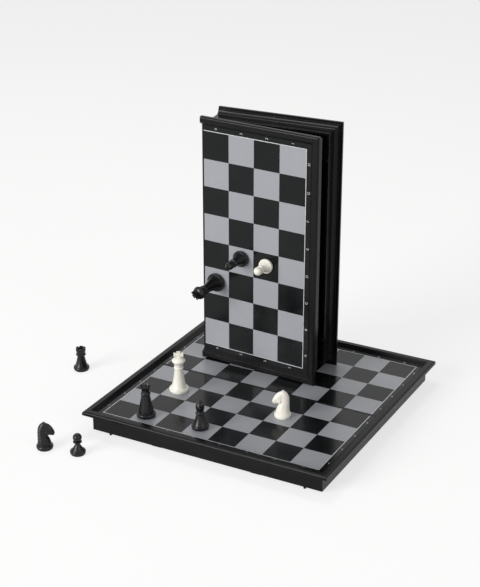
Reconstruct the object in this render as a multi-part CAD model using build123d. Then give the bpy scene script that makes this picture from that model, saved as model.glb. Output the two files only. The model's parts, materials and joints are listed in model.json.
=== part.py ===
from build123d import *
import math
import os

# Magnetic travel chess set: one board lying open, one folded nearly shut and standing on it, ten chessmen.
# Millimetres. X runs along the long side of the open board, Y away from the player, Z up.
# The origin is the middle of the footprint of the whole arrangement, on the surface that it stands on.

# Playing surface
SQUARE = 27.0
FILES = 8
RANKS = 4
LINE_WIDTH = 0.7
PRINT_DEPTH = 0.2
PRINT_INSET = 0.05
SHEET_THICKNESS = 0.5
STEEL_THICKNESS = 0.5
SHEET_CLEARANCE = 0.15

# Half of the folding case, measured in its own frame with the hinge line as the X axis
HALF_DEPTH = 16.0
HINGE_STRIP = 1.75
HINGE_FACE_GAP = 0.15
PARTING_GAP = 0.1
COORDINATE_STRIP = 5.6
RIM_OVERHANG = 14.4
RIM_HEIGHT = 3.9
RIM_FLAT_INSET = 3.0
RIM_EDGE_RADIUS = 1.8
RIM_BAND_FOOT = 0.1
UNDERCUT_WIDTH = 2.6
COVE_RADIUS = 4.0
BEAD_STEP = 0.8
WALL_OFFSET = 7.4
WALL = 2.2
DECK = 1.8
SHEET_LIP = 0.85

# Closing pegs, their sockets and the latch tongues on the free long wall
PEG_SPACING = 196.0
SOCKET_SPACING = 180.0
PEG_RADIUS = 1.2
PEG_HEIGHT = 2.2
PEG_INSET = 2.0
PEG_CLEARANCE = 0.2
BOSS_LENGTH = 7.0
BOSS_THICKNESS = 2.4
LATCH_SPACING = 100.0
LATCH_LENGTH = 10.0
LATCH_THICKNESS = 1.2
LATCH_HEIGHT = 2.0
LATCH_GAP = 0.4

# Hinge
HINGE_SPACING = 144.0
KNUCKLE_RADIUS = 2.2
KNUCKLE_MIDDLE = 10.0
KNUCKLE_OUTER = 7.0
KNUCKLE_SIDE_GAP = 0.2
KNUCKLE_NOTCH_GAP = 0.35
PIN_RADIUS = 1.0
PIN_CLEARANCE = 0.05
PIN_END_INSET = 0.3

# Chessmen
KING_HEIGHT = 40.5
KING_BASE = 18.3
QUEEN_HEIGHT = 32.7
QUEEN_BASE = 17.7
BISHOP_HEIGHT = 28.0
BISHOP_BASE = 15.9
KNIGHT_HEIGHT = 26.6
KNIGHT_BASE = 15.4
ROOK_HEIGHT = 23.6
ROOK_BASE = 15.7
PAWN_HEIGHT = 20.4
PAWN_BASE = 14.2
BASE_BAND = 3.9
MAGNET_RADIUS = 4.0
MAGNET_THICKNESS = 2.5
MAGNET_SINK = 0.1
MAGNET_CLEARANCE = 0.05
CROSS_SPAN = 9.0
CROSS_THICKNESS = 2.2
CROSS_SINK = 1.2
KNIGHT_HEAD_SINK = 0.5
CORONET_POINTS = 8
BATTLEMENTS = 6
MANE_NOTCHES = 5

# Where the photograph shows each thing, from the middle of the hinge line of the open board
STANDING_HINGE_X = -84.6
STANDING_HINGE_Y = 52.2
STANDING_FRONT_YAW = -3.2
STANDING_OPENING = 7.2
LOOSE_ROOK = (-195.3, -17.0)
LOOSE_PAWN = (-105.2, -157.6)
LOOSE_KNIGHT = (-136.8, -163.3)
CAMERA_SIDE_YAW = 28.2

# Men on the open board: file, rank, then how far right and how far away from the middle of the square
BLACK_QUEEN_AT = (1, 0, -3.1, -1.1)
WHITE_KING_AT = (1, 2, -1.7, 1.5)
BLACK_BISHOP_AT = (3, 0, -2.8, 2.4)
WHITE_KNIGHT_AT = (5, 2, -1.6, 2.2)

# Men on the standing board: column from the hinge, row from the top, then how far outwards and how far down
STANDING_KING_AT = (0, 5, 0.0, 0.0)
STANDING_BISHOP_AT = (1, 4, 0.6, -3.2)
STANDING_PAWN_AT = (2, 4, 1.2, -1.9)
STANDING_KING_TURN = 47.0

# Sizes that follow
playing_length = FILES * SQUARE
half_length = playing_length / 2 + RIM_OVERHANG
wall_end = playing_length / 2 + WALL_OFFSET
wall_side = HINGE_STRIP + RANKS * SQUARE + WALL_OFFSET
recess_floor = HALF_DEPTH - SHEET_THICKNESS - STEEL_THICKNESS
sheet_end = playing_length / 2 + COORDINATE_STRIP
sheet_side = HINGE_STRIP + RANKS * SQUARE + COORDINATE_STRIP
sheet_hinge_edge = HINGE_FACE_GAP + SHEET_LIP
floor_level = -max(PEG_HEIGHT, KNUCKLE_RADIUS)
parting = PARTING_GAP / 2


def slab(x0, x1, y0, y1, z0, z1):
    """Box between two corners."""
    return Pos((x0 + x1) / 2, (y0 + y1) / 2, (z0 + z1) / 2) * Box(x1 - x0, y1 - y0, z1 - z0)


def outline(*runs):
    """Closed face from runs of points: two points make a line, more make a smooth curve."""
    return make_face([Line(*run) if len(run) == 2 else Spline(*run) for run in runs])


# Case halves


def moulding_section():
    """Section of the picture-frame moulding and wall, X outwards from the playing area, Y up."""
    top = HALF_DEPTH + RIM_HEIGHT
    flat_start = COORDINATE_STRIP + RIM_FLAT_INSET
    slope_middle = (COORDINATE_STRIP + 0.35 * RIM_FLAT_INSET, HALF_DEPTH + 0.3 * RIM_HEIGHT)
    band_foot = HALF_DEPTH + RIM_BAND_FOOT
    cove_start = WALL_OFFSET + COVE_RADIUS
    cove_top = HALF_DEPTH - BEAD_STEP
    inside = WALL_OFFSET - WALL
    deck_edge = inside - WALL
    deck_under = recess_floor - DECK
    edges = [
        Line((COORDINATE_STRIP, recess_floor), (COORDINATE_STRIP, HALF_DEPTH)),
        ThreePointArc((COORDINATE_STRIP, HALF_DEPTH), slope_middle, (flat_start, top)),
        Line((flat_start, top), (RIM_OVERHANG - RIM_EDGE_RADIUS, top)),
        RadiusArc((RIM_OVERHANG - RIM_EDGE_RADIUS, top), (RIM_OVERHANG, top - RIM_EDGE_RADIUS), RIM_EDGE_RADIUS),
        Line((RIM_OVERHANG, top - RIM_EDGE_RADIUS), (RIM_OVERHANG, band_foot)),
        Line((RIM_OVERHANG, band_foot), (RIM_OVERHANG - UNDERCUT_WIDTH, band_foot)),
        Line((RIM_OVERHANG - UNDERCUT_WIDTH, band_foot), (RIM_OVERHANG - UNDERCUT_WIDTH, cove_top)),
        Line((RIM_OVERHANG - UNDERCUT_WIDTH, cove_top), (cove_start, cove_top)),
        RadiusArc((cove_start, cove_top), (WALL_OFFSET, cove_top - COVE_RADIUS), -COVE_RADIUS),
        Line((WALL_OFFSET, cove_top - COVE_RADIUS), (WALL_OFFSET, parting)),
        Line((WALL_OFFSET, parting), (inside, parting)),
        Line((inside, parting), (inside, deck_under)),
        Line((inside, deck_under), (deck_edge, deck_under)),
        Line((deck_edge, deck_under), (deck_edge, recess_floor)),
        Line((deck_edge, recess_floor), (COORDINATE_STRIP, recess_floor)),
    ]
    return make_face(edges)


def moulding():
    """The moulding swept round the three outer sides, mitred at the two corners."""
    end = playing_length / 2
    side = HINGE_STRIP + RANKS * SQUARE
    path = Polyline((end, HINGE_FACE_GAP), (end, side), (-end, side), (-end, HINGE_FACE_GAP))
    start = Plane(origin=(end, HINGE_FACE_GAP, 0), x_dir=(1, 0, 0), z_dir=(0, -1, 0))
    return sweep(start * moulding_section(), path, transition=Transition.RIGHT)


def hinge_stations():
    return [-HINGE_SPACING / 2, HINGE_SPACING / 2]


def along_x(radius, x0, x1):
    """Cylinder about the hinge line from x0 to x1."""
    return Pos((x0 + x1) / 2, 0, 0) * Rot(0, 90, 0) * Cylinder(radius, x1 - x0)


def knuckle_spans(x, middle):
    """Ends of the knuckles of one hinge: the middle one, or the outer pair."""
    if middle:
        return [(x - KNUCKLE_MIDDLE / 2, x + KNUCKLE_MIDDLE / 2)]
    near = KNUCKLE_MIDDLE / 2 + KNUCKLE_SIDE_GAP
    far = near + KNUCKLE_OUTER
    return [(x - far, x - near), (x + near, x + far)]


def case_half(middle_knuckles, peg_spacing, socket_spacing, has_tongues):
    """One moulded half: deck, walls, moulding, hinge knuckles and closing features."""
    deck_x = wall_end - WALL
    deck = slab(-deck_x, deck_x, HINGE_FACE_GAP, wall_side - WALL, recess_floor - DECK, recess_floor)
    hinge_wall = slab(-deck_x, deck_x, HINGE_FACE_GAP, HINGE_FACE_GAP + WALL, parting, recess_floor)
    lip = slab(-sheet_end, sheet_end, HINGE_FACE_GAP, sheet_hinge_edge, recess_floor, HALF_DEPTH)
    half = moulding() + deck + hinge_wall + lip
    free_inside = wall_side - WALL
    deck_under = recess_floor - DECK
    boss_front = free_inside - BOSS_THICKNESS
    peg_y = wall_side - PEG_INSET
    for spacing in (peg_spacing, socket_spacing):
        for x in (-spacing / 2, spacing / 2):
            half += slab(x - BOSS_LENGTH / 2, x + BOSS_LENGTH / 2, boss_front, free_inside, parting, deck_under)
    for x in (-peg_spacing / 2, peg_spacing / 2):
        half += Pos(x, peg_y, (parting - PEG_HEIGHT) / 2) * Cylinder(PEG_RADIUS, PEG_HEIGHT + parting)
    socket_depth = PEG_HEIGHT + PEG_CLEARANCE
    for x in (-socket_spacing / 2, socket_spacing / 2):
        half -= Pos(x, peg_y, socket_depth / 2) * Cylinder(PEG_RADIUS + PEG_CLEARANCE, socket_depth)
    if has_tongues:
        tongue_outer = free_inside - LATCH_GAP
        tongue_inner = tongue_outer - LATCH_THICKNESS
        for x in (-LATCH_SPACING / 2, LATCH_SPACING / 2):
            ends = (x - LATCH_LENGTH / 2, x + LATCH_LENGTH / 2)
            half += slab(*ends, tongue_inner, free_inside, LATCH_GAP, deck_under)
            half += slab(*ends, tongue_inner, tongue_outer, -LATCH_HEIGHT, LATCH_GAP)
    for x in hinge_stations():
        for x0, x1 in knuckle_spans(x, not middle_knuckles):
            ends = (x0 - KNUCKLE_SIDE_GAP, x1 + KNUCKLE_SIDE_GAP)
            half -= along_x(KNUCKLE_RADIUS + KNUCKLE_NOTCH_GAP, *ends)
        for x0, x1 in knuckle_spans(x, middle_knuckles):
            half += along_x(KNUCKLE_RADIUS, x0, x1)
            half -= along_x(PIN_RADIUS + PIN_CLEARANCE, x0, x1)
    return half


def hinge_pins():
    """The two steel pins of one board."""
    reach = KNUCKLE_MIDDLE / 2 + KNUCKLE_SIDE_GAP + KNUCKLE_OUTER - PIN_END_INSET
    return [along_x(PIN_RADIUS, x - reach, x + reach) for x in hinge_stations()]


def steel_sheet():
    edge = SHEET_CLEARANCE
    return slab(-sheet_end + edge, sheet_end - edge, sheet_hinge_edge + edge, sheet_side - edge,
                recess_floor, recess_floor + STEEL_THICKNESS)


def light_squares():
    """The sixteen light squares of a half, printed into the top of the dark sheet."""
    squares = []
    for file in range(FILES):
        for rank in range(RANKS):
            if (file + rank) % 2 == 1:
                x0 = -playing_length / 2 + file * SQUARE + PRINT_INSET
                y0 = HINGE_STRIP + rank * SQUARE + PRINT_INSET
                side = SQUARE - 2 * PRINT_INSET
                squares.append(slab(x0, x0 + side, y0, y0 + side, HALF_DEPTH - PRINT_DEPTH, HALF_DEPTH))
    return squares


def border_line():
    """Light line round the three outer sides of the playing area."""
    x = playing_length / 2
    y = HINGE_STRIP + RANKS * SQUARE
    low = HALF_DEPTH - PRINT_DEPTH
    outer = slab(-x - LINE_WIDTH, x + LINE_WIDTH, HINGE_STRIP, y + LINE_WIDTH, low, HALF_DEPTH)
    return outer - slab(-x, x, HINGE_STRIP, y, low, HALF_DEPTH)


def dark_sheet():
    """Printed sheet on top of the steel, with room for the light print."""
    edge = SHEET_CLEARANCE
    low = recess_floor + STEEL_THICKNESS
    sheet = slab(-sheet_end + edge, sheet_end - edge, sheet_hinge_edge + edge, sheet_side - edge, low, HALF_DEPTH)
    return sheet - light_squares() - border_line()


# Chessmen, each with its base on Z = 0 and its axis on Z


def base_runs(radius, start_radius):
    """Lathe outline of the foot: a bowl-shaped band, then a small step up to the stem."""
    return [
        ((0, 0), (radius * 0.88, 0)),
        ((radius * 0.88, 0), (radius * 0.975, BASE_BAND * 0.3), (radius, BASE_BAND * 0.62)),
        ((radius, BASE_BAND * 0.62), (radius * 0.985, BASE_BAND * 0.86), (radius * 0.93, BASE_BAND)),
        ((radius * 0.93, BASE_BAND), (start_radius, BASE_BAND)),
    ]


def lathe(*runs):
    """Solid turned about Z from an outline in radius and height, closed along the axis."""
    last = runs[-1][-1]
    closing = (last, (0, 0))
    return revolve(Plane.XZ * outline(*runs, closing), Axis.Z)


def bored_for_magnet(body):
    depth = MAGNET_SINK + MAGNET_THICKNESS
    return body - Pos(0, 0, depth / 2) * Cylinder(MAGNET_RADIUS + MAGNET_CLEARANCE, depth)


def magnet():
    return Pos(0, 0, MAGNET_SINK + MAGNET_THICKNESS / 2) * Cylinder(MAGNET_RADIUS, MAGNET_THICKNESS)


def king():
    """Tall stem, flared bell and a cross with widening arms."""
    r = KING_BASE / 2
    h = KING_HEIGHT
    top = h * 0.85
    body = lathe(
        *base_runs(r, r * 0.82),
        ((r * 0.82, BASE_BAND), (r * 0.67, h * 0.2), (r * 0.52, h * 0.38), (r * 0.43, h * 0.57)),
        ((r * 0.43, h * 0.57), (r * 0.49, h * 0.585), (r * 0.49, h * 0.605), (r * 0.43, h * 0.62)),
        ((r * 0.43, h * 0.62), (r * 0.48, h * 0.69), (r * 0.69, h * 0.765)),
        ((r * 0.69, h * 0.765), (r * 0.67, h * 0.79)),
        ((r * 0.67, h * 0.79), (r * 0.5, h * 0.825), (0, top)),
    )
    return body + cross(h, top)


def cross(height, seat):
    """Cross with arms that widen outwards, standing on the bell."""
    half = CROSS_SPAN / 2
    arm = half * 0.42
    neck = half * 0.24
    foot = seat - CROSS_SINK
    middle = seat + (height - seat) * 0.5
    points = [
        (-half * 0.6, foot), (half * 0.6, foot), (neck, middle - neck), (half, middle - arm),
        (half, middle + arm), (neck, middle + neck), (arm, height), (-arm, height),
        (-neck, middle + neck), (-half, middle + arm), (-half, middle - arm), (-neck, middle - neck),
    ]
    plate = Plane.XZ * make_face(Polyline(*points, close=True))
    return extrude(plate, CROSS_THICKNESS / 2, both=True)


def queen():
    """Full stem with a collar, a flared coronet of points and a ball."""
    r = QUEEN_BASE / 2
    h = QUEEN_HEIGHT
    rim = h * 0.94
    seat = h * 0.88
    body = lathe(
        *base_runs(r, r * 0.82),
        ((r * 0.82, BASE_BAND), (r * 0.7, h * 0.28), (r * 0.55, h * 0.48), (r * 0.43, h * 0.66)),
        ((r * 0.43, h * 0.66), (r * 0.5, h * 0.685), (r * 0.5, h * 0.715), (r * 0.42, h * 0.74)),
        ((r * 0.42, h * 0.74), (r * 0.4, h * 0.79)),
        ((r * 0.4, h * 0.79), (r * 0.45, h * 0.86), (r * 0.64, rim)),
        ((r * 0.64, rim), (r * 0.52, rim)),
        ((r * 0.52, rim), (r * 0.38, seat)),
        ((r * 0.38, seat), (0, seat)),
    )
    notch = Rot(0, 90, 0) * Cylinder(r * 0.12, r * 2)
    for k in range(CORONET_POINTS // 2):
        body -= Pos(0, 0, rim) * Rot(0, 0, 360 / CORONET_POINTS * k) * notch
    ball = r * 0.14
    dome_top = h - 1.6 * ball
    dome = Pos(0, 0, (seat + dome_top) / 2) * Cone(r * 0.36, ball * 0.7, dome_top - seat)
    return body + dome + Pos(0, 0, h - ball) * Sphere(ball)


def bishop():
    """Straight cone, slim neck and a pointed mitre with a slanting cut."""
    r = BISHOP_BASE / 2
    h = BISHOP_HEIGHT
    body = lathe(
        *base_runs(r, r * 0.82),
        ((r * 0.82, BASE_BAND), (r * 0.6, h * 0.31), (r * 0.42, h * 0.5)),
        ((r * 0.42, h * 0.5), (r * 0.52, h * 0.525), (r * 0.52, h * 0.55), (r * 0.42, h * 0.575)),
        ((r * 0.42, h * 0.575), (r * 0.36, h * 0.6)),
        ((r * 0.36, h * 0.6), (r * 0.48, h * 0.7), (r * 0.49, h * 0.79), (r * 0.33, h * 0.9),
         (r * 0.1, h * 0.97)),
        ((r * 0.1, h * 0.97), (0, h * 0.97)),
    )
    cut = Pos(r * 0.34, 0, h * 0.85) * Rot(0, -35, 0) * Box(r * 0.8, r * 2, r * 0.15)
    tip = r * 0.12
    return body - cut + Pos(0, 0, h - tip) * Sphere(tip)


def knight():
    """Horse's head facing +X on a round foot: side, front and top outlines cut into each other, then carved."""
    r = KNIGHT_BASE / 2
    h = KNIGHT_HEIGHT
    low = h * 0.17
    foot_top = low + KNIGHT_HEAD_SINK
    foot = lathe(*base_runs(r, r * 0.84), ((r * 0.84, BASE_BAND), (r * 0.8, foot_top)),
                 ((r * 0.8, foot_top), (0, foot_top)))
    side = outline(
        ((-r * 0.78, low), (r * 0.82, low)),
        ((r * 0.82, low), (r * 0.8, h * 0.26), (r * 0.58, h * 0.4), (r * 0.3, h * 0.5)),
        ((r * 0.3, h * 0.5), (r * 0.36, h * 0.54)),
        ((r * 0.36, h * 0.54), (r * 0.6, h * 0.53), (r * 0.84, h * 0.51)),
        ((r * 0.84, h * 0.51), (r * 1.08, h * 0.56), (r * 1.17, h * 0.64), (r * 1.03, h * 0.73)),
        ((r * 1.03, h * 0.73), (r * 0.75, h * 0.85), (r * 0.4, h * 0.925), (r * 0.16, h * 0.94)),
        ((r * 0.16, h * 0.94), (r * 0.06, h)),
        ((r * 0.06, h), (-r * 0.16, h * 0.93)),
        ((-r * 0.16, h * 0.93), (-r * 0.52, h * 0.85), (-r * 0.74, h * 0.68), (-r * 0.74, h * 0.42), (-r * 0.78, low)),
    )
    front = Polyline((-r * 0.72, low), (r * 0.72, low), (r * 0.47, h * 0.55), (r * 0.28, h), (-r * 0.28, h),
                     (-r * 0.47, h * 0.55), close=True)
    half_plan = [(-r * 0.6, r * 0.44), (-r * 0.15, r * 0.66), (r * 0.35, r * 0.58), (r * 0.85, r * 0.34)]
    mirrored = [(x, -y) for x, y in reversed(half_plan)]
    plan = make_face(Spline((-r * 0.8, 0), *half_plan, (r * 1.25, 0), *mirrored, periodic=True))
    head = extrude(Plane.XZ * side, r, both=True) & extrude(Plane.YZ * make_face(front), r * 1.5, both=True)
    head &= extrude(plan, h)
    head -= Pos(0, 0, h) * Box(r, r * 0.14, r * 0.34)
    for k in range(MANE_NOTCHES):
        rise = h * (0.4 + 0.46 * k / MANE_NOTCHES)
        head -= Pos(-r * 0.8, 0, rise) * Rot(0, 45, 0) * Box(r * 0.2, r * 2, r * 0.2)
    for y in (-1, 1):
        head -= Pos(r * 0.58, y * r * 0.4, h * 0.78) * Sphere(r * 0.1)
        head -= Pos(r * 1.02, y * r * 0.29, h * 0.62) * Sphere(r * 0.07)
    return foot + head


def rook():
    """Cone, collar and a drum with battlements round a sunk top."""
    r = ROOK_BASE / 2
    h = ROOK_HEIGHT
    drum = r * 0.61
    well = r * 0.44
    body = lathe(
        *base_runs(r, r * 0.82),
        ((r * 0.82, BASE_BAND), (r * 0.64, h * 0.35), (r * 0.45, h * 0.64)),
        ((r * 0.45, h * 0.64), (r * 0.62, h * 0.69)),
        ((r * 0.62, h * 0.69), (r * 0.62, h * 0.73)),
        ((r * 0.62, h * 0.73), (drum * 0.84, h * 0.76)),
        ((drum * 0.84, h * 0.76), (drum, h * 0.88), (drum, h)),
        ((drum, h), (well, h)),
        ((well, h), (well, h * 0.88)),
        ((well, h * 0.88), (0, h * 0.88)),
    )
    slot = Pos(0, 0, h * 0.97) * Box(r * 3, r * 0.16, h * 0.06)
    for k in range(BATTLEMENTS // 2):
        body -= Rot(0, 0, 360 / BATTLEMENTS * k) * slot
    return body


def pawn():
    """Wide cone, pinched neck, collar and a ball."""
    r = PAWN_BASE / 2
    h = PAWN_HEIGHT
    ball = r * 0.57
    body = lathe(
        *base_runs(r, r * 0.84),
        ((r * 0.84, BASE_BAND), (r * 0.56, h * 0.33), (r * 0.33, h * 0.47)),
        ((r * 0.33, h * 0.47), (r * 0.36, h * 0.54)),
        ((r * 0.36, h * 0.54), (r * 0.56, h * 0.58)),
        ((r * 0.56, h * 0.58), (r * 0.56, h * 0.62)),
        ((r * 0.56, h * 0.62), (r * 0.4, h * 0.65)),
        ((r * 0.4, h * 0.65), (0, h * 0.7)),
    )
    return body + Pos(0, 0, h - ball) * Sphere(ball)


# Arrangement


def square_centre(file, rank, dx, dy):
    """Middle of a square of the open board, files from the left and ranks from the player."""
    across = HINGE_STRIP if rank >= RANKS else -HINGE_STRIP
    x = -playing_length / 2 + (file + 0.5) * SQUARE + dx
    y = across + (rank - RANKS + 0.5) * SQUARE + dy
    return Pos(x, y, HALF_DEPTH)


def standing_plane(yaw, side):
    """Frame of a standing half: side is -1 for the half that faces the player, 1 for the other."""
    angle = math.radians(yaw)
    normal = (-math.sin(angle) * side, math.cos(angle) * side, 0)
    return Plane(origin=(STANDING_HINGE_X, STANDING_HINGE_Y, HALF_DEPTH + half_length),
                 x_dir=(0, 0, side), z_dir=normal)


def on_standing_face(plane, column, row, out, down, turn=0.0):
    """Place on the face towards the player: columns from the hinge, rows from the top."""
    x = -playing_length / 2 + (row + 0.5) * SQUARE + down
    y = HINGE_STRIP + (column + 0.5) * SQUARE + out
    return plane.location * Pos(x, y, HALF_DEPTH) * Rot(0, 0, turn)


def build():
    """All nodes by name, each a list of solids, in the frame of the open board's hinge line."""
    nodes = {}
    front_case = case_half(True, PEG_SPACING, SOCKET_SPACING, True)
    back_case = case_half(False, SOCKET_SPACING, PEG_SPACING, False)
    front_stand = standing_plane(STANDING_FRONT_YAW, -1)
    back_stand = standing_plane(STANDING_FRONT_YAW + STANDING_OPENING, 1)
    halves = {
        "open_back": (back_case, Location()),
        "open_front": (front_case, Rot(0, 0, 180)),
        "standing_back": (back_case, back_stand.location),
        "standing_front": (front_case, front_stand.location),
    }
    for name, (case, place) in halves.items():
        nodes[name + "_shell"] = [place * case]
        nodes[name + "_steel_sheet"] = [place * steel_sheet()]
        nodes[name + "_dark_sheet"] = [place * dark_sheet()]
        nodes[name + "_light_squares"] = [place * tile for tile in light_squares()]
        nodes[name + "_border_line"] = [place * border_line()]
    nodes["open_hinge_pins"] = hinge_pins()
    nodes["standing_hinge_pins"] = [back_stand.location * pin for pin in hinge_pins()]

    side_on = Rot(0, 0, CAMERA_SIDE_YAW)
    floor = Pos(0, 0, floor_level)
    men = {
        "black_queen": (queen, square_centre(*BLACK_QUEEN_AT) * side_on),
        "white_king": (king, square_centre(*WHITE_KING_AT) * side_on),
        "black_bishop": (bishop, square_centre(*BLACK_BISHOP_AT) * side_on),
        "white_knight": (knight, square_centre(*WHITE_KNIGHT_AT) * Rot(0, 0, CAMERA_SIDE_YAW + 180)),
        "standing_king": (king, on_standing_face(front_stand, *STANDING_KING_AT, STANDING_KING_TURN)),
        "standing_bishop": (bishop, on_standing_face(front_stand, *STANDING_BISHOP_AT)),
        "standing_pawn": (pawn, on_standing_face(front_stand, *STANDING_PAWN_AT)),
        "loose_rook": (rook, floor * Pos(*LOOSE_ROOK) * side_on),
        "loose_knight": (knight, floor * Pos(*LOOSE_KNIGHT) * side_on),
        "loose_pawn": (pawn, floor * Pos(*LOOSE_PAWN) * side_on),
    }
    for name, (make, place) in men.items():
        nodes[name] = [place * bored_for_magnet(make())]
        nodes[name + "_magnet"] = [place * magnet()]
    return nodes


def main():
    nodes = build()
    whole = Compound(children=[Compound(solids) for solids in nodes.values()]).bounding_box()
    shift = Pos(-(whole.min.X + whole.max.X) / 2, -(whole.min.Y + whole.max.Y) / 2, -whole.min.Z)
    os.makedirs("parts", exist_ok=True)
    for name, solids in nodes.items():
        moved = [shift * solid for solid in solids]
        export_step(moved[0] if len(moved) == 1 else Compound(moved), "parts/" + name + ".step")
    print("hinge line of the open board:", shift.position)
    print("overall size:", whole.size)


if __name__ == "__main__":
    main()
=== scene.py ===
import json
import math

import bmesh
import bpy
from mathutils import Matrix, Vector


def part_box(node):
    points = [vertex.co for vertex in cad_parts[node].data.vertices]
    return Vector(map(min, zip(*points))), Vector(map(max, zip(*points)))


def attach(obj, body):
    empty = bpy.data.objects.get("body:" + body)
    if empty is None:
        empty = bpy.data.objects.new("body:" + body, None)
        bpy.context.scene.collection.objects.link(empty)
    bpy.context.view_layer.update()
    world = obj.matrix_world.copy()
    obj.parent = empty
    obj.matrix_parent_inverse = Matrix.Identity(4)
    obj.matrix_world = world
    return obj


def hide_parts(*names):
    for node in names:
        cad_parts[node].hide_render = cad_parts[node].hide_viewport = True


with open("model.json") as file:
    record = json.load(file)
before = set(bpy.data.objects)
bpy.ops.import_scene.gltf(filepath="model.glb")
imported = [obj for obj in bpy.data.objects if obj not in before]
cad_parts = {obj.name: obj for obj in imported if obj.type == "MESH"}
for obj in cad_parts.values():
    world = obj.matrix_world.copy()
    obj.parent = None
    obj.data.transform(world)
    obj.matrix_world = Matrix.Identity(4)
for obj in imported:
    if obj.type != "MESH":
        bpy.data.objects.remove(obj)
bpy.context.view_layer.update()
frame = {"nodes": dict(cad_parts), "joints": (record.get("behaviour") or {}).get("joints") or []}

MM = 0.001

# Sizes repeated from the boards, in millimetres
SQUARE = 27.0
FILES = 8
RANKS = 4
HALF_DEPTH = 16.0
HINGE_STRIP = 1.75

# Printed coordinates
LETTER_HEIGHT = 2.6
LETTER_WEIGHT = 0.08
LETTER_FROM_EDGE = 3.3
CAPITAL_SHARE = 0.7
INK_THICKNESS = 0.02
FILE_LETTERS = "ABCDEFGH"
RANK_NUMBERS = "12345678"

# Levels of light: the world on the object, the world and the floor where they are seen
AMBIENT = 0.27
SEEN_WORLD = 1.0
FLOOR_LIFT = 0.69

# Floor in metres each way from the middle, and its paper fibres in millimetres
FLOOR_REACH = 8.0
FIBRE = 3

# Softboxes: place, the point they face, width in metres and power in watts
LAMPS = {
    "key_softbox": ((-1.5, -3.2, 1.15), (0, 0, 0.1), 2.0, 121),
    "top_softbox": ((-0.3, 0.3, 1.4), (0, 0, 0), 0.4, 3),
    "side_softbox": ((1.6, -0.5, 0.7), (0, 0, 0.1), 0.8, 4),
}

# The camera stands where the photograph was taken from
CAMERA_PLACE = (0.60491, -1.07926, 0.66299)
CAMERA_AIM = (0.04321, -0.03097, 0.13790)
LENS = 91.02
SENSOR = 36.0
NEAR_CLIP = 0.01

# Finishes: where the patches start and end between the two colours, and how fine noise and edges are
PATCH_LOW = 0.3
PATCH_HIGH = 0.7
PATCH_DETAIL = 4.0
PATCH_ROUGHNESS = 0.6
GRAIN_DETAIL = 2.0
EDGE_SAMPLES = 4


def show(made):
    """Put an object into the scene and hand it back."""
    bpy.context.scene.collection.objects.link(made)
    return made


def settled(made):
    """The object's mesh with its modifiers applied; the object goes."""
    bpy.context.view_layer.update()
    mesh = bpy.data.meshes.new_from_object(made.evaluated_get(bpy.context.evaluated_depsgraph_get()))
    bpy.data.objects.remove(made)
    return mesh


def linear(code):
    """sRGB hex code to the linear colour that the shaders take, by the curve of the sRGB standard."""
    channels = [int(code[i:i + 2], 16) / 255 for i in (1, 3, 5)]
    return tuple(c / 12.92 if c <= 0.04045 else ((c + 0.055) / 1.055) ** 2.4 for c in channels) + (1.0,)


def add(tree, kind, inputs=None, **settings):
    """Add a shader node: inputs are plain values or the sockets that feed them."""
    made = tree.nodes.new("ShaderNode" + kind)
    for name, value in settings.items():
        setattr(made, name, value)
    for name, value in (inputs or {}).items():
        if isinstance(value, bpy.types.NodeSocket):
            tree.links.new(value, made.inputs[name])
        else:
            made.inputs[name].default_value = value
    return made


def per_size(millimetres):
    """Scale of a pattern whose cells are this wide."""
    return 1.0 / (millimetres * MM)


def moulded(name, dark, light, roughness, grain_mm, patch_mm, bump_mm, edge_mm, **principled):
    """Plastic or print: two close colours, a surface grain, uneven gloss and softened edges.

    The real grains are 0.03 to 0.1 mm wide, too fine to show from here, so they are drawn
    0.25 to 0.9 mm wide.
    """
    material = bpy.data.materials.new(name)
    material.use_nodes = True
    tree = material.node_tree
    tree.nodes.clear()
    place = add(tree, "TexCoord").outputs["Object"]
    grain = add(tree, "TexNoise", {"Vector": place, "Scale": per_size(grain_mm),
                                   "Detail": GRAIN_DETAIL}).outputs["Fac"]
    patches = add(tree, "TexNoise", {"Vector": place, "Scale": per_size(patch_mm), "Detail": PATCH_DETAIL,
                                     "Roughness": PATCH_ROUGHNESS}).outputs["Fac"]
    colour = add(tree, "ValToRGB", {"Fac": patches})
    colour.color_ramp.elements[0].position = PATCH_LOW
    colour.color_ramp.elements[0].color = linear(dark)
    colour.color_ramp.elements[1].position = PATCH_HIGH
    colour.color_ramp.elements[1].color = linear(light)
    gloss = add(tree, "MapRange", {"Value": patches, "From Min": PATCH_LOW, "From Max": PATCH_HIGH,
                                   "To Min": roughness[0], "To Max": roughness[1]})
    edge = add(tree, "Bevel", {"Radius": edge_mm * MM}, samples=EDGE_SAMPLES)
    bump = add(tree, "Bump", {"Height": grain, "Distance": bump_mm * MM, "Strength": 1.0,
                              "Normal": edge.outputs["Normal"]})
    settings = {"Base Color": colour.outputs["Color"], "Roughness": gloss.outputs["Result"],
                "Normal": bump.outputs["Normal"]}
    settings.update(principled)
    shader = add(tree, "BsdfPrincipled", settings)
    add(tree, "OutputMaterial", {"Surface": shader.outputs["BSDF"]})
    return material


# Injection-moulded ABS with a spark-eroded texture: near black, with soft highlights along the ridges.
satin_black_abs = moulded("satin_black_moulded_abs", "#0f0f11", "#161618", roughness=(0.21, 0.29),
                          grain_mm=0.9, patch_mm=30, bump_mm=0.010, edge_mm=0.45,
                          **{"IOR": 1.54, "Specular IOR Level": 0.13})
# The same plastic from a polished mould: deep black with a sharper shine on the turned forms.
polished_black_abs = moulded("polished_black_moulded_abs", "#131315", "#1b1b1d", roughness=(0.18, 0.27),
                             grain_mm=0.7, patch_mm=9, bump_mm=0.005, edge_mm=0.25,
                             **{"IOR": 1.54, "Specular IOR Level": 0.26})
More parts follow.
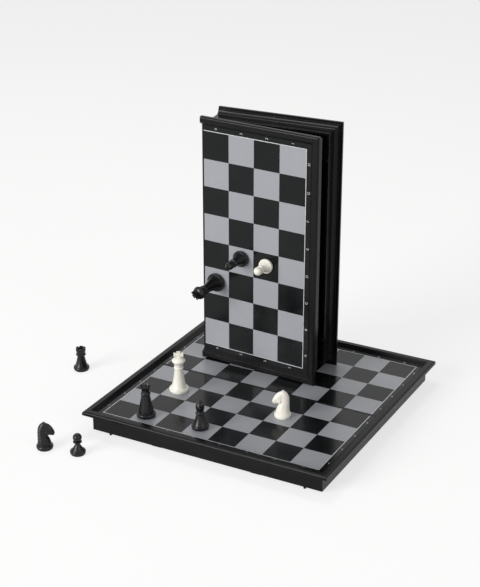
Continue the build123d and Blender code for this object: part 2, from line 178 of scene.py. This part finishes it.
# Ivory ABS: warm white, a little light passes into it and softens the shadows.
ivory_abs = moulded("ivory_moulded_abs", "#f6f2e5", "#fbf8ed", roughness=(0.26, 0.36),
                    grain_mm=0.7, patch_mm=9, bump_mm=0.005, edge_mm=0.25,
                    **{"IOR": 1.54, "Subsurface Weight": 0.12, "Subsurface Radius": (1.2, 0.9, 0.6),
                       "Subsurface Scale": MM})
# Black printed vinyl: a faint even grain, and a satin coat that mirrors what stands on it.
black_print = moulded("black_printed_vinyl", "#0e1011", "#151718", roughness=(0.13, 0.20),
                      grain_mm=0.8, patch_mm=40, bump_mm=0.003, edge_mm=0.1,
                      **{"IOR": 1.5, "Specular IOR Level": 0.2})
# Silver-grey ink on the same vinyl: a satin sheen with blurred reflections.
silver_print = moulded("silver_grey_printed_vinyl", "#9fa1a6", "#a3a5aa", roughness=(0.25, 0.27),
                       grain_mm=0.6, patch_mm=80, bump_mm=0.003, edge_mm=0.1,
                       **{"IOR": 1.5, "Specular IOR Level": 0.4})
# Hot-stamped foil line: thin, pale and a little brighter than the squares.
foil_line = moulded("silver_stamped_foil", "#c6c8ca", "#d4d6d8", roughness=(0.25, 0.35), grain_mm=0.5,
                    patch_mm=12, bump_mm=0.003, edge_mm=0.1, Metallic=0.3)
# Pale ink of the coordinates, laid on by screen printing: matt and slightly uneven.
pale_ink = moulded("pale_screen_printed_ink", "#a6a8a9", "#b4b6b7", roughness=(0.45, 0.55), grain_mm=0.4,
                   patch_mm=6, bump_mm=0.002, edge_mm=0.05, IOR=1.5)
# Zinc-plated steel sheet: dull grey with faint spangled patches.
zinc_steel = moulded("zinc_plated_steel_sheet", "#8b8d8f", "#9b9d9f", roughness=(0.32, 0.45), grain_mm=0.5,
                     patch_mm=4, bump_mm=0.003, edge_mm=0.1, Metallic=1.0)
# Drawn steel wire of the hinge pins: bright, with a slightly uneven shine.
drawn_steel = moulded("drawn_steel_wire", "#a5a7a8", "#b4b6b7", roughness=(0.22, 0.32), grain_mm=0.3,
                      patch_mm=6, bump_mm=0.002, edge_mm=0.1, Metallic=1.0)
# Pressed ferrite magnet: a dark grey ceramic, matt, with a grainy face.
ferrite = moulded("pressed_ferrite_magnet", "#2c2c2e", "#3a3a3c", roughness=(0.5, 0.65), grain_mm=0.25,
                  patch_mm=3, bump_mm=0.010, edge_mm=0.2, IOR=1.9)

WHITE_MEN = ("white_king", "white_knight", "standing_pawn")


def finish_for(node):
    """Material of a CAD node by what its name ends in."""
    by_end = {
        "_shell": satin_black_abs, "_steel_sheet": zinc_steel, "_dark_sheet": black_print,
        "_light_squares": silver_print, "_border_line": foil_line, "_hinge_pins": drawn_steel,
        "_magnet": ferrite,
    }
    for end, material in by_end.items():
        if node.endswith(end):
            return material
    return ivory_abs if node in WHITE_MEN else polished_black_abs


for name, piece in frame["nodes"].items():
    finish = finish_for(name)
    if not piece.material_slots:
        piece.data.materials.append(finish)
    for holder in piece.material_slots:
        holder.material = finish

# Knights: a carved head over the solid's foot, in millimetres and degrees, on its own axis, facing +X

KNIGHT_TURN = 28.2
MAGNET_SINK = 0.1
ROUND = 48
WELD = 0.001
VOXEL = 0.32
SMOOTHING = 0.5
SMOOTHING_STEPS = 7
SHARP_EDGE = 40

# Foot: radius and height of the lathe outline, from the magnet's pocket outwards and up
FOOT = ((0, 2.6), (4.05, 2.6), (4.05, 0), (6.78, 0), (7.3, 0.6), (7.55, 1.3), (7.68, 2.0), (7.7, 2.5),
        (7.64, 3.1), (7.45, 3.6), (7.16, 3.9), (6.45, 3.9), (6.25, 4.7), (5.6, 5.1), (0, 5.1))
# Oval sections: the front and the back point of each, along and up, then half its width
NECK = (((6.4, 3.4), (-6.5, 3.4), 5.1), ((6.0, 6.8), (-6.3, 8.0), 4.7), ((4.9, 9.8), (-6.2, 12.5), 4.3),
        ((3.5, 12.5), (-6.1, 17.0), 3.9), ((3.0, 15.0), (-5.6, 20.5), 3.6), ((3.2, 18.5), (-4.3, 23.4), 3.2),
        ((3.6, 22.6), (-2.3, 25.3), 2.5), ((2.6, 24.8), (-0.4, 26.0), 1.2))
HEAD = (((-1.5, 23.8), (-2.0, 15.0), 2.3), ((2.2, 25.4), (2.2, 13.9), 3.2), ((4.9, 24.0), (4.0, 13.6), 3.1),
        ((6.9, 21.8), (6.0, 13.5), 2.6), ((8.3, 19.5), (7.8, 13.2), 2.1), ((9.2, 17.4), (9.0, 13.8), 1.6),
        ((9.6, 16.5), (9.5, 14.9), 0.8))
# Balls that swell the cheeks, the eyes and the nostrils: where along, aside and up, then the radius
SWELLS = ((2.9, 0.7, 16.6, 3.0), (4.9, 2.1, 20.2, 0.8), (8.2, 1.1, 16.3, 1.1))
BALL_DIVISIONS = 3
# Ears: where each starts and ends, along, aside and up, and its radius there
EAR_FOOT = (0.9, 1.3, 24.4)
EAR_TIP = (-0.9, 1.5, 26.2)
EAR_RADII = (1.1, 0.3)
EAR_SIDES = 24
# Mane: locks cut across the back of the neck, fading towards the face and the foot
MANE_PITCH = 2.3
MANE_DEPTH = 0.3
MANE_EDGE = 1.2
MANE_LEAN = 0.18
MANE_MIDDLE = 20
MANE_FADE = 1.5
MANE_FOOT = 6.5
MANE_FOOT_FADE = 2
LOCK_RISE = 0.35
LOCK_DROOP = 0.25
# Mouth: a groove from the lips back along the jaw
MOUTH_HEIGHT = 14.7
MOUTH_LIPS = 9
MOUTH_SLOPE = 0.12
MOUTH_WIDTH = 0.28
MOUTH_DEPTH = 0.3
MOUTH_FROM = 6.4
MOUTH_FADE = 0.6


def ramp(value, start, width):
    """0 up to the start, then rising evenly to 1 over the width."""
    return min(max((value - start) / width, 0), 1)


def closed_loft(shape, rings):
    """Skin over rings of points, closed at both ends."""
    rows = [[shape.verts.new(point) for point in ring] for ring in rings]
    for low, high in zip(rows, rows[1:]):
        for k in range(len(low)):
            n = (k + 1) % len(low)
            shape.faces.new((low[k], low[n], high[n], high[k]))
    shape.faces.new(list(reversed(rows[0])))
    shape.faces.new(rows[-1])


def oval(front, back, half_width):
    """Ring whose long axis runs from the back point to the front point."""
    ring = []
    for k in range(ROUND):
        angle = 2 * math.pi * k / ROUND
        along = (1 + math.cos(angle)) / 2
        ring.append((back[0] + (front[0] - back[0]) * along, half_width * math.sin(angle),
                     back[1] + (front[1] - back[1]) * along))
    return ring


def as_object(name, shape):
    """Object from a mesh in the making, its faces turned outwards."""
    bmesh.ops.recalc_face_normals(shape, faces=shape.faces)
    mesh = bpy.data.meshes.new(name)
    shape.to_mesh(mesh)
    shape.free()
    return show(bpy.data.objects.new(name, mesh))


def carved_head():
    """Neck, head, cheeks, eyes, nostrils and ears grown into one skin, then the mane and the mouth cut in."""
    shape = bmesh.new()
    closed_loft(shape, [oval(*section) for section in NECK])
    closed_loft(shape, [oval(*section) for section in HEAD])
    for side in (-1, 1):
        for along, aside, up, radius in SWELLS:
            bmesh.ops.create_icosphere(shape, subdivisions=BALL_DIVISIONS, radius=radius,
                                       matrix=Matrix.Translation((along, side * aside, up)))
        foot, tip = (Vector((along, side * aside, up)) for along, aside, up in (EAR_FOOT, EAR_TIP))
        lean = (tip - foot).to_track_quat("Z", "Y").to_matrix().to_4x4()
        bmesh.ops.create_cone(shape, cap_ends=True, segments=EAR_SIDES, radius1=EAR_RADII[0],
                              radius2=EAR_RADII[1], depth=(tip - foot).length,
                              matrix=Matrix.Translation((foot + tip) / 2) @ lean)
    grown = as_object("knight_head", shape)
    grown.modifiers.new("skin", "REMESH").voxel_size = VOXEL
    smooth = grown.modifiers.new("smooth", "SMOOTH")
    smooth.iterations = SMOOTHING_STEPS
    smooth.factor = SMOOTHING
    mesh = settled(grown)
    for vertex in mesh.vertices:
        x, y, z = vertex.co
        behind = ramp(-x - MANE_LEAN * (z - MANE_MIDDLE), MANE_EDGE, MANE_FADE)
        behind *= ramp(z, MANE_FOOT, MANE_FOOT_FADE)
        lock = 0.5 - 0.5 * math.cos(2 * math.pi * (z + LOCK_RISE * x - LOCK_DROOP * abs(y)) / MANE_PITCH)
        off_line = (z - MOUTH_HEIGHT - MOUTH_SLOPE * (x - MOUTH_LIPS)) / MOUTH_WIDTH
        mouth = math.exp(-off_line ** 2) * ramp(x, MOUTH_FROM, MOUTH_FADE)
        vertex.co -= vertex.normal * (MANE_DEPTH * behind * lock ** 2 + MOUTH_DEPTH * mouth)
    return mesh


def knight_mesh():
    """Head and foot joined into one closed skin, in millimetres on its own axis."""
    shape = bmesh.new()
    outer = [shape.verts.new((radius, 0, height)) for radius, height in FOOT]
    edges = [shape.edges.new(pair) for pair in zip(outer, outer[1:])]
    bmesh.ops.spin(shape, geom=outer + edges, cent=(0, 0, 0), axis=(0, 0, 1), angle=2 * math.pi,
                   steps=2 * ROUND, use_duplicate=False)
    bmesh.ops.remove_doubles(shape, verts=shape.verts, dist=WELD)
    whole = as_object("knight_foot", shape)
    head = show(bpy.data.objects.new("knight_head", carved_head()))
    join = whole.modifiers.new("join", "BOOLEAN")
    join.operation = "UNION"
    join.solver = "EXACT"
    join.object = head
    mesh = settled(whole)
    bpy.data.objects.remove(head)
    mesh.shade_smooth()
    mesh.set_sharp_from_angle(angle=math.radians(SHARP_EDGE))
    return mesh


KNIGHTS = {
    "white_knight": (KNIGHT_TURN + 180, ivory_abs, "white_plastic"),
    "loose_knight": (KNIGHT_TURN, polished_black_abs, "black_plastic"),
}
knight = knight_mesh()
for name, (turn, finish, slot) in KNIGHTS.items():
    low, high = (Vector(corner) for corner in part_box(name + "_magnet"))
    middle = (low + high) / 2
    base = Vector((middle.x, middle.y, low.z - MAGNET_SINK * MM))
    mesh = knight.copy()
    turned = Matrix.Rotation(math.radians(turn), 4, "Z")
    mesh.transform(Matrix.Translation(base) @ turned @ Matrix.Scale(MM, 4))
    mesh.materials.clear()
    mesh.materials.append(finish)
    piece = show(bpy.data.objects.new(name + "_carved", mesh))
    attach(piece, name)
    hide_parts(name)

# Coordinates

hinge = {j["name"]: Vector(j["pos_m"]) for j in frame["joints"] if "pos_m" in j}
front_normal = Vector(next(j["axis"] for j in frame["joints"] if j["name"] == "standing_king_pull"))
shut_turn = next(j["range_deg"][0] for j in frame["joints"] if j["name"] == "standing_board_fold")
back_normal = Matrix.Rotation(math.radians(-shut_turn), 3, "Z") @ -front_normal


def half_frame(origin, along, normal):
    """Placement of a case half: X along the hinge, Y away from it, Z out of the playing surface."""
    across = normal.cross(along)
    placed = Matrix((along, across, normal)).transposed().to_4x4()
    placed.translation = origin
    return placed


UP = Vector((0, 0, 1))
ALONG = Vector((1, 0, 0))
halves = {
    "open_back": (half_frame(hinge["open_board_fold"], ALONG, UP), False),
    "open_front": (half_frame(hinge["open_board_fold"], -ALONG, UP), True),
    "standing_back": (half_frame(hinge["standing_board_fold"], UP, back_normal), False),
    "standing_front": (half_frame(hinge["standing_board_fold"], -UP, front_normal), True),
}


def letter_mesh(character):
    """Flat raised letter, centred on the origin."""
    curve = bpy.data.curves.new("letter", "FONT")
    curve.body = character
    curve.size = LETTER_HEIGHT * MM / CAPITAL_SHARE
    curve.align_x = "CENTER"
    curve.align_y = "CENTER"
    curve.extrude = INK_THICKNESS * MM / 2
    curve.offset = LETTER_WEIGHT * MM
    return settled(show(bpy.data.objects.new("letter", curve)))


letters = {c: letter_mesh(c) for c in FILE_LETTERS + RANK_NUMBERS}


def coordinates(name, placed, is_front):
    """Letters along the free side of a half and numbers along both ends, read from the player's side."""
    points, faces = [], []
    end = FILES / 2 * SQUARE + LETTER_FROM_EDGE
    side = HINGE_STRIP + RANKS * SQUARE + LETTER_FROM_EDGE
    marks = []
    for i in range(FILES):
        file = FILES - 1 - i if is_front else i
        marks.append((FILE_LETTERS[file], (i + 0.5 - FILES / 2) * SQUARE, side))
    for j in range(RANKS):
        number = str(RANKS - j if is_front else RANKS + 1 + j)
        for x in (-end, end):
            marks.append((number, x, HINGE_STRIP + (j + 0.5) * SQUARE))
    turn = Matrix.Rotation(math.pi, 4, "Z")
    for character, x, y in marks:
        spot = placed @ Matrix.Translation(Vector((x, y, HALF_DEPTH + INK_THICKNESS / 2)) * MM) @ turn
        first = len(points)
        points += [spot @ v.co for v in letters[character].vertices]
        faces += [[first + k for k in face.vertices] for face in letters[character].polygons]
    mesh = bpy.data.meshes.new(name + "_coordinates")
    mesh.from_pydata(points, [], faces)
    mesh.materials.append(pale_ink)
    piece = show(bpy.data.objects.new(name + "_coordinates", mesh))
    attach(piece, name)


for name, (placed, is_front) in halves.items():
    coordinates(name, placed, is_front)

# Floor, light and camera


def seen_plainly(tree):
    """1 where the camera looks, straight or by a reflection or through glass, and 0 for light that falls."""
    path = add(tree, "LightPath").outputs
    either = add(tree, "Math", {0: path["Is Camera Ray"], 1: path["Is Glossy Ray"]}, operation="ADD",
                 use_clamp=True)
    return add(tree, "Math", {0: either.outputs[0], 1: path["Is Transmission Ray"]}, operation="ADD",
               use_clamp=True).outputs[0]


floor_material = bpy.data.materials.new("matt_white_paper")
floor_material.use_nodes = True
tree = floor_material.node_tree
tree.nodes.clear()
fibre = add(tree, "TexNoise", {"Vector": add(tree, "TexCoord").outputs["Object"], "Scale": per_size(FIBRE)})
paper = add(tree, "MixRGB", {"Fac": fibre.outputs["Fac"], "Color1": linear("#a8a8a7"),
                             "Color2": linear("#acacab")})
matt = add(tree, "BsdfDiffuse", {"Color": paper.outputs["Color"]})
lift = add(tree, "Math", {0: seen_plainly(tree), 1: FLOOR_LIFT}, operation="MULTIPLY")
glow = add(tree, "Emission", {"Strength": lift.outputs[0]})
both = add(tree, "AddShader", {0: matt.outputs["BSDF"], 1: glow.outputs["Emission"]})
add(tree, "OutputMaterial", {"Surface": both.outputs["Shader"]})

floor_mesh = bpy.data.meshes.new("floor")
corners = [(FLOOR_REACH * x, FLOOR_REACH * y, 0) for x, y in ((-1, -1), (1, -1), (1, 1), (-1, 1))]
floor_mesh.from_pydata(corners, [], [(0, 1, 2, 3)])
floor_mesh.materials.append(floor_material)
floor = show(bpy.data.objects.new("floor", floor_mesh))

world = bpy.data.worlds.new("studio")
world.use_nodes = True
tree = world.node_tree
tree.nodes.clear()
level = add(tree, "MapRange", {"Value": seen_plainly(tree), "To Min": AMBIENT, "To Max": SEEN_WORLD})
back = add(tree, "Background", {"Color": (1, 1, 1, 1), "Strength": level.outputs["Result"]})
add(tree, "OutputWorld", {"Surface": back.outputs["Background"]})
bpy.context.scene.world = world


def aimed(made, place, aim):
    """Stand a lamp or the camera at a place, looking at a point."""
    made.location = place
    made.rotation_euler = (Vector(aim) - Vector(place)).to_track_quat("-Z", "Y").to_euler()
    return show(made)


for name, (place, aim, width, power) in LAMPS.items():
    lamp = bpy.data.lights.new(name, "AREA")
    lamp.shape = "SQUARE"
    lamp.size = width
    lamp.energy = power
    aimed(bpy.data.objects.new(name, lamp), place, aim)

camera = bpy.data.cameras.new("camera")
camera.lens = LENS
camera.sensor_width = SENSOR
camera.clip_start = NEAR_CLIP
bpy.context.scene.camera = aimed(bpy.data.objects.new("camera", camera), CAMERA_PLACE, CAMERA_AIM)
bpy.context.scene.view_settings.view_transform = "Standard"
